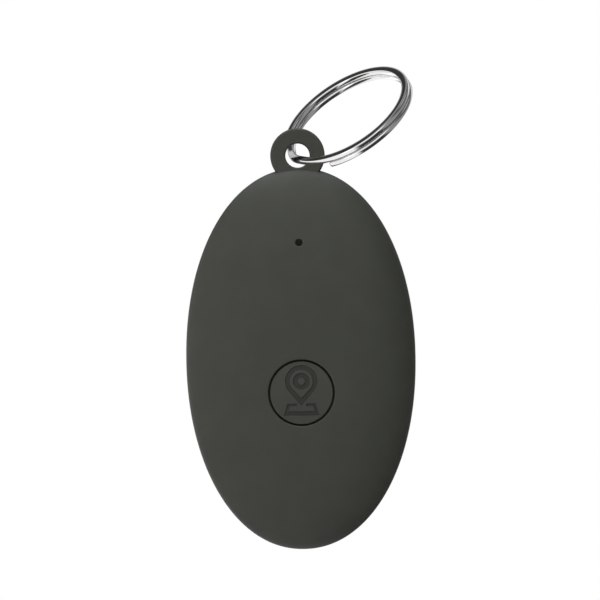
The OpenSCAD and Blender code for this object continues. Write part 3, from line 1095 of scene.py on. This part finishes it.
@dataclass
class PushButton:
    """The round cap with the engraved place symbol, its flange and its post."""

    frame: CaseFrame
    pin_y: float = 1.61
    pin_out: Spot = (2.23, 3.39)
    pin_in: Spot = (1.64, 2.4)
    dot_r: float = 0.84
    dot_half_w: float = 0.31
    plate_out: tuple[float, ...] = (-3.2, -1.54, 2.47, 1.96)
    plate_in: tuple[float, ...] = (-2.6, -1.88, 1.9, 1.62)
    tip_gap: Spot = (0.65, -2.4)
    crown: float = 0.14
    sink: float = 0.04
    edge_r: float = 0.12
    depth: float = 0.13
    wall_w: float = 0.06
    columns: int = 480
    rows: int = 108
    flange_top: float = 2.98
    flange_h: float = 0.6
    post_r: float = 1.3
    post_end: float = 1.92

    @staticmethod
    def _drop(spots: Array, radius: float, tip: float) -> Array:
        """Distance to a drop: a circle with two tangents that meet at the tip below it.

        Right of the axis, the tangent's outward direction n makes the angle whose sine is
        radius / tip with the x axis. Above the point where it touches, the distance is to the
        circle, |p| - radius. Beside the tangent it is p.n - radius, and past the tip it is to
        the tip.

        Args:
            spots: points, with the circle's centre at 0.
            radius: the circle's radius.
            tip: how far below the centre the tip lies.

        Returns:
            The signed distance, negative inside.
        """
        x, y = np.abs(spots[..., 0]), spots[..., 1]
        lean = math.asin(radius / tip)
        normal = np.array([math.cos(lean), -math.sin(lean)])
        along = -x * math.sin(lean) - y * math.cos(lean)
        side = x * normal[0] + y * normal[1] - radius
        beyond = along > math.sqrt(tip**2 - radius**2)
        to_tip = np.where(beyond & (side > 0), np.hypot(x, y + tip), side)
        return np.where(along < 0, np.hypot(x, y) - radius, to_tip)

    @staticmethod
    def _plate(spots: Array, low: float, high: float, low_w: float, high_w: float) -> Array:
        """Distance to a plate seen in perspective: half-width low_w at y = low, high_w at y = high."""
        x, y = np.abs(spots[..., 0]), spots[..., 1]
        lean = math.atan2(low_w - high_w, high - low)
        side = (x - low_w) * math.cos(lean) + (y - low) * math.sin(lean)
        return np.maximum(side, np.maximum(low - y, y - high))

    def _symbol(self, spots: Array) -> Array:
        """Distance to the engraved lines: a pin, a ring in it, and a plate with a gap at the tip.

        Each line is what lies inside one shape and outside a smaller one, so its distance is the
        larger of the first and minus the second.
        """
        pin = spots - np.array([0.0, self.pin_y])
        outline = np.maximum(self._drop(pin, *self.pin_out), -self._drop(pin, *self.pin_in))
        ring = np.abs(np.hypot(pin[..., 0], pin[..., 1]) - self.dot_r) - self.dot_half_w
        plate = np.maximum(self._plate(spots, *self.plate_out), -self._plate(spots, *self.plate_in))
        gap = np.maximum(np.abs(spots[..., 0]) - self.tip_gap[0], self.tip_gap[1] - spots[..., 1])
        return np.minimum(np.minimum(outline, ring), np.maximum(plate, -gap))

    def build(self) -> Piece:
        """Builds the crowned top as a height over a round grid, then the sides, flange and post.

        The top's height falls with the square of the radius, and sinks smoothly by the
        engraving's depth where the distance to the symbol is negative.
        """
        turns = even_turns(self.columns)
        cap, middle = self.frame.cap_r, (0.0, self.frame.button_y)
        radii = np.linspace(0.0, cap - self.edge_r, self.rows + 1)[1:, None]
        spots = circle((0.0, 0.0), radii, turns[None])
        cut = smooth_step(self.wall_w / 2, -self.wall_w / 2, self._symbol(spots))
        top = self.frame.front_z - self.sink
        z = top - self.crown * (radii / cap) ** 2 - self.depth * cut
        face = at_height(spots + np.array(middle), z)
        rim_z = float(top - self.crown)
        section = rounded_path([(cap - 1.0, rim_z, 0.0), (cap, rim_z, self.edge_r),
                                (cap, self.flange_top, 0.0),
                                (cap + self.frame.flange_over, self.flange_top, 0.1),
                                (cap + self.frame.flange_over, self.flange_top - self.flange_h, 0.1),
                                (self.post_r, self.flange_top - self.flange_h, 0.0),
                                (self.post_r, self.post_end, 0.15), (0.02, self.post_end, 0.0)])[2:]
        sides = np.stack([at_height(circle(middle, max(r, 0.02), turns), h) for r, h in section])
        rings = np.concatenate([face, sides])
        edge = np.zeros(rings.shape[:2])
        edge[self.rows - 1:self.rows + 5] = 1.0
        engraved = np.concatenate([cut, np.zeros(sides.shape[:2])])
        skin = Surface()
        skin.add_skin(rings, edge, engraved)
        made = skin.build("push_button", self.frame.placing())
        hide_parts("button_cap")
        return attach(made, "button")


@dataclass
class SplitRing:
    """The key ring: two turns of flat spring wire that step past each other at the eyelet."""

    outer_d: float = 20.0
    wire_w: float = 1.1
    wire_t: float = 0.86
    layer_gap: float = 0.03
    squareness: float = 3.4
    step_half: float = 20.0
    first_turn: float = -33.0
    last_turn: float = -672.0
    roll: float = 33.2
    tilt: float = 28.3
    slide: float = 6.3
    seat: Triple = (-0.35, 0.0, -0.35)
    rows: int = 520
    columns: int = 28
    end_r: float = 0.2

    def _layer(self, turn: Array) -> Array:
        """Height along the ring's axis: one layer, a smooth step over the eyelet, the other layer."""
        step = smooth_step(0.0, 1.0, (-turn - 360 + self.step_half) / (2 * self.step_half))
        return (self.wire_t + self.layer_gap) * (0.5 - step)

    def _turns_and_sizes(self) -> tuple[Array, Array]:
        """Turn and section size of each ring of points, with both ends rounded off.

        Over the last end_r of wire the section shrinks as a quarter circle does.
        """
        middle = np.linspace(self.first_turn, self.last_turn, self.rows)
        quarter = np.linspace(0, math.pi / 2, 6)[1:-1]
        reach = math.degrees(self.end_r / (self.outer_d / 2 - self.wire_w / 2))
        shrink = 1 - self.end_r / (self.wire_t / 2) * (1 - np.cos(quarter))
        turns = np.concatenate([self.first_turn + reach * np.sin(quarter[::-1]), middle,
                                self.last_turn - reach * np.sin(quarter)])
        return turns, np.concatenate([shrink[::-1], np.ones(self.rows), shrink])

    def placing(self) -> Placing:
        """Seats the ring in the eyelet: slid round, leant to the front and rolled."""
        turn = (Matrix.Rotation(math.radians(-self.roll), 4, "Y")
                @ Matrix.Rotation(math.radians(self.tilt), 4, "X")
                @ Matrix.Rotation(math.radians(self.slide), 4, "Z"))
        return Placing(Matrix.Translation(self.seat) @ turn)

    def build(self) -> Piece:
        """Carries a squarish section, |x/a|^n + |y/b|^n = 1, along the two turns."""
        turns, sizes = self._turns_and_sizes()
        section = Outline(self.wire_w / 2, self.wire_t / 2, self.squareness)
        around = even_turns(self.columns)
        offset = section.points(around)[None] * sizes[:, None, None]
        middle = self.outer_d / 2 - self.wire_w / 2
        angle = np.radians(turns)[:, None]
        radius = middle + offset[..., 0]
        rings = np.stack([middle - radius * np.cos(angle), -radius * np.sin(angle),
                          self._layer(turns)[:, None] + offset[..., 1]], axis=-1)
        skin = Surface()
        skin.add_skin(rings)
        made = skin.build("split_ring", self.placing())
        self._wire_map(made)
        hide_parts("key_ring")
        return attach(made, "ring")

    def _wire_map(self, ring: Piece) -> None:
        """Adds a UV map that runs along the wire and across it, both in millimetres.

        In the ring's own frame, u is the turn about its axis times the radius, and v is the
        distance from the axis plus the height.
        """
        mesh = ring.data
        spots = np.zeros(len(mesh.vertices) * 3)
        mesh.vertices.foreach_get("co", spots)
        local = self.placing().back(spots.reshape(-1, 3))
        middle = self.outer_d / 2 - self.wire_w / 2
        across = local[:, 0] - middle
        u = np.arctan2(local[:, 1], across) * middle
        v = np.hypot(local[:, 1], across) + local[:, 2]
        corners = np.zeros(len(mesh.loops), int)
        mesh.loops.foreach_get("vertex_index", corners)
        layer = mesh.uv_layers.new(name="wire")
        layer.data.foreach_set("uv", np.stack([u, v], axis=-1)[corners].astype(np.float32).ravel())


@dataclass
class SnapDome:
    """The thin spring dome under the switch's plunger, built in its rest shape."""

    foot_r: float = 1.6
    rise: float = 0.43
    thick: float = 0.08
    kept_share: float = 0.26
    rows: int = 14
    columns: int = 56

    def _cap(self, radius: float, sink: float) -> Array:
        """Distance from the axis and height, from the pole to the foot, of a cap of a sphere.

        Args:
            radius: the sphere's radius.
            sink: how far the sphere's middle is below the foot.

        Returns:
            The rows, each a distance and a height.
        """
        lean = np.linspace(0.0, math.acos(sink / radius), self.rows + 1)[1:]
        return np.stack([radius * np.sin(lean), radius * np.cos(lean) - sink], axis=-1)

    def build(self) -> Piece:
        """Turns the outer and inner caps, two spheres with one middle, round the plunger's axis."""
        low, high = (np.array(corner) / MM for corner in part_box("switch_dome"))
        radius = (self.foot_r ** 2 + self.rise ** 2) / (2 * self.rise)
        sink = radius - self.rise
        profile = np.concatenate([self._cap(radius, sink), self._cap(radius - self.thick, sink)[::-1]])
        turns = even_turns(self.columns)
        away, height = profile[:, :1], np.broadcast_to(profile[:, 1:], (len(profile), self.columns))
        rings = np.stack([away * np.cos(turns), -height, away * np.sin(turns)], axis=-1)
        middle = Vector(((low[0] + high[0]) / 2, high[1], (low[2] + high[2]) / 2))
        skin = Surface()
        skin.add_skin(rings)
        made = skin.build("snap_dome", Placing(Matrix.Translation(middle)))
        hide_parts("switch_dome")
        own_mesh(made)
        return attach(made, "tag")


class Inside:
    """The pieces that the case holds, dressed as packed."""

    def __init__(self, nodes: dict[str, Piece]) -> None:
        """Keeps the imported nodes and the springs' bronze."""
        self.nodes = nodes
        self.bronze = PlatedMetal("spring_bronze", (0.78, 0.66, 0.42), 0.22).material()

    def _finishes(self) -> dict[Material, tuple[str, ...]]:
        """Each finish's material and the nodes that have it."""
        low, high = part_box("battery_can")
        finishes = {
            Moulding("black_plastic", (0.021, 0.021, 0.023)):
                ("switch_base", "buzzer_base", "buzzer_case", "battery_holder"),
            Moulding("chip_package", (0.016, 0.016, 0.018), 0.6, 0.04): ("bluetooth_chip", "resistors"),
            Moulding("white_plastic", (0.72, 0.7, 0.64), 0.4): ("switch_plunger",),
            Moulding("white_ceramic", (0.7, 0.68, 0.61), 0.3, 0.05): ("chip_antenna",),
            Moulding("tan_ceramic", (0.36, 0.25, 0.14), 0.35, 0.05): ("capacitors",),
            Moulding("cell_seal", (0.13, 0.13, 0.14), 0.4): ("battery_seal",),
            Moulding("cell_core", (0.08, 0.08, 0.085), 0.8, 0.09): ("battery_core",),
            Moulding("ferrite", (0.05, 0.048, 0.05), 0.55, 0.05): ("buzzer_magnet",),
            PlatedMetal("zinc_steel", (0.62, 0.62, 0.63)):
                ("board_screws", "switch_cover", "main_crystal", "clock_crystal"),
            # The buzzer diaphragm is coloured near black as painted shade, so the sound port above it reads
            # dark.
            PlatedMetal("blued_steel", (0.09, 0.09, 0.095), 0.5): ("buzzer_diaphragm",),
            PlatedMetal("tinned_metal", (0.66, 0.65, 0.62), 0.35): ("switch_terminals",),
            WoundWire(): ("buzzer_coil",),
            BoardLaminate(): ("circuit_board",),
            CellSteel(tuple((low + high) / 2)): ("battery_can", "battery_cap"),
        }
        made = {finish.material(): names for finish, names in finishes.items()}
        return made | {self.bronze: ("positive_contact", "negative_contact")}

    def dress(self) -> None:
        """Gives every inner node its material, and adds the switch's spring dome."""
        for material, names in self._finishes().items():
            for name in names:
                dress(self.nodes[name], material)
                LOG.info("%s: %s", name, material.name)
        dress(SnapDome().build(), self.bronze)


# --- Studio ---


@dataclass(frozen=True)
class SoftLight:
    """A square soft light that faces the tag."""

    name: str
    place: Triple
    power: float
    colour: Colour
    side: float = 0.7

    def build(self, aim: Vector, left_out: bpy.types.Collection) -> None:
        """Adds the light, turned towards aim. What is left out takes no light or shadow from it."""
        data = bpy.data.lights.new(self.name, "AREA")
        data.size, data.energy, data.color = self.side, self.power, self.colour
        light = bpy.data.objects.new(self.name, data)
        light.location = self.place
        light.rotation_euler = (aim - light.location).to_track_quat("-Z", "Y").to_euler()
        light.light_linking.receiver_collection = left_out
        light.light_linking.blocker_collection = left_out
        bpy.context.scene.collection.objects.link(light)


@dataclass
class Studio:
    """The camera, soft lights, white surroundings and a pale floor well below the hanging tag."""

    frame: CaseFrame
    ring: Piece
    view_w: float = 84.27
    lens: float = 500.0
    sensor: float = 36.0
    roll: float = -0.98
    aim: Triple = (0.01, 0.0, -20.28)
    floor_drop: float = 0.17
    along_ring: Triple = (0.707, 0.0, 0.707)
    long_screens: tuple[Spot, ...] = (
        (-1.0, 1.15), (-0.5, 1.1), (-0.32, 0.04), (0.25, 0.04), (0.45, 0.32), (0.72, 0.3), (0.84, 0.1),
        (0.92, 0.12), (1.0, 0.55))
    to_front: Triple = (0.0, -1.0, 0.0)
    front_screens: tuple[Spot, ...] = (
        (-1.0, 0.1), (-0.9, 0.5), (-0.74, 0.6), (-0.64, 0.0), (0.7, 0.0), (0.88, 1.0), (1.0, 1.0))
    back_fill: float = 1.1
    lights: tuple[SoftLight, ...] = (
        SoftLight("top", (-0.05, -0.05, 0.6), 5.2, (0.96, 1.0, 1.08)),
        SoftLight("top_front", (0.0, -0.5, 0.5), 3.2, (1.0, 1.0, 0.88)),
        SoftLight("left", (-0.7, -0.1, 0.1), 1.05, (1.0, 0.96, 0.84)),
        SoftLight("left_front", (-0.55, -0.5, 0.05), 1.12, (1.0, 0.96, 0.8)))
    floor_r: float = 0.8
    floor_fade: Spot = (250.0, 700.0)

    def camera(self) -> None:
        """Stands the camera straight in front, far back with a long lens, a little rolled."""
        data = bpy.data.cameras.new("camera")
        data.lens, data.sensor_width = self.lens, self.sensor
        data.clip_start, data.clip_end = 0.05, 20.0
        back = self.view_w * MM * self.lens / self.sensor
        made = bpy.data.objects.new("camera", data)
        place = Vector(self.aim) * MM - Vector((0.0, back, 0.0))
        made.matrix_world = (Matrix.Translation(place) @ Matrix.Rotation(math.pi / 2, 4, "X")
                             @ Matrix.Rotation(math.radians(self.roll), 4, "Z"))
        bpy.context.scene.collection.objects.link(made)
        bpy.context.scene.camera = made

    def floor(self) -> None:
        """Lays a round, pale, matte floor that fades out towards its edge."""
        turns = even_turns(128)
        spots = at_height(circle((0.0, 0.0), self.floor_r, turns), -self.floor_drop)
        mesh = bpy.data.meshes.new("floor")
        mesh.from_pydata(spots.tolist(), [], [list(range(len(spots)))])
        made = bpy.data.objects.new("floor", mesh)
        made.visible_glossy = False
        bpy.context.scene.collection.objects.link(made)
        sh = Shader("pale_floor", Specular_IOR_Level=0.2)
        tone = sh.noise(sh.place((0.02, 0.02, 0.02)), 1.0)
        away = sh.add("ShaderNodeVectorMath", {"operation": "LENGTH"}, in0=sh.place()).outputs["Value"]
        sh.give(Base_Color=sh.blend(tone, (0.9, 0.9, 0.895), (0.93, 0.93, 0.925)),
                Roughness=sh.spread(tone, 0.3, 0.7, 0.7, 0.8),
                Alpha=sh.spread(away, *self.floor_fade, 1.0, 0.0))
        dress(made, sh.material)

    def sky(self) -> None:
        """Surrounds the scene with white, and with screens that only the reflections show.

        What the camera sees directly is plain white. What lights the object comes from the rear.
        What the metal reflects is the sum of two rows of light and dark screens, one that stands
        along the ring and one from the rear to the front.
        """
        world = bpy.data.worlds.new("sweep")
        world.use_nodes = True
        bpy.context.scene.world = world
        tree = NodeTree(world.node_tree)
        tree.tree.nodes.clear()
        path = tree.add("ShaderNodeLightPath")
        way = tree.add("ShaderNodeTexCoord").outputs["Generated"]
        shine = tree.plus(self._screens(tree, way, self.along_ring, self.long_screens),
                          self._screens(tree, way, self.to_front, self.front_screens))
        behind = tree.math("MAXIMUM", self._towards(tree, way, (0.0, 1.0, 0.0)), 0.0)
        glossy, fill, seen = (
            tree.add("ShaderNodeBackground", Color=(1.0, 1.0, 1.0), Strength=strength)
            for strength in (shine, tree.times(behind, self.back_fill), 1.0))
        lit = tree.add("ShaderNodeMixShader", in0=path.outputs["Is Glossy Ray"], in1=fill.outputs[0],
                       in2=glossy.outputs[0])
        whole = tree.add("ShaderNodeMixShader", in0=path.outputs["Is Camera Ray"], in1=lit.outputs[0],
                         in2=seen.outputs[0])
        tree.add("ShaderNodeOutputWorld", Surface=whole.outputs[0])

    def _screens(self, tree: NodeTree, way: Socket, aim: Triple, stops: tuple[Spot, ...]) -> Socket:
        """The brightness of a row of screens.

        Args:
            tree: the world's nodes.
            way: the direction.
            aim: the row's own direction.
            stops: how far towards aim, and how bright there.

        Returns:
            The brightness socket.
        """
        far = tree.spread_evenly(self._towards(tree, way, aim), -1.0, 1.0)
        screens = tree.add("ShaderNodeValToRGB", Fac=far)
        ramp = screens.color_ramp
        ramp.interpolation = "EASE"
        for i, (stop, bright) in enumerate(stops):
            spot = ramp.elements[i] if i < 2 else ramp.elements.new(1.0)
            spot.position, spot.color = (stop + 1.0) / 2.0, rgba((bright, bright, bright))
        return screens.outputs[0]

    @staticmethod
    def _towards(tree: NodeTree, way: Socket, aim: Triple) -> Socket:
        """How far a direction points towards aim: the sum of their products."""
        product = tree.add("ShaderNodeVectorMath", {"operation": "DOT_PRODUCT"}, in0=way, in1=aim)
        return product.outputs["Value"]

    def build(self) -> None:
        """Sets up the whole studio."""
        bpy.context.scene.view_settings.view_transform = "Standard"
        self.camera()
        self.floor()
        self.sky()
        aim = Vector((0.0, 0.0, -self.frame.drop * MM))
        left_out = bpy.data.collections.new("left_out")
        left_out.objects.link(self.ring)
        left_out.collection_objects[0].light_linking.link_state = "EXCLUDE"
        for light in self.lights:
            light.build(aim, left_out)


def main() -> None:
    """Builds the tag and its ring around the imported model, then the studio."""
    logging.basicConfig(level=logging.INFO, format="%(name)s: %(message)s")
    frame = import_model()
    case = CaseFrame.read()
    plastic = CasePlastic().material()
    for part in (FrontCover(case), Eyelet(case), RearCover(case), PushButton(case)):
        dress(part.build(), plastic)
    ring = SplitRing().build()
    dress(ring, PolishedSteel().material())
    Inside(frame["nodes"]).dress()
    Studio(case, ring).build()


if __name__ == "__main__":
    main()
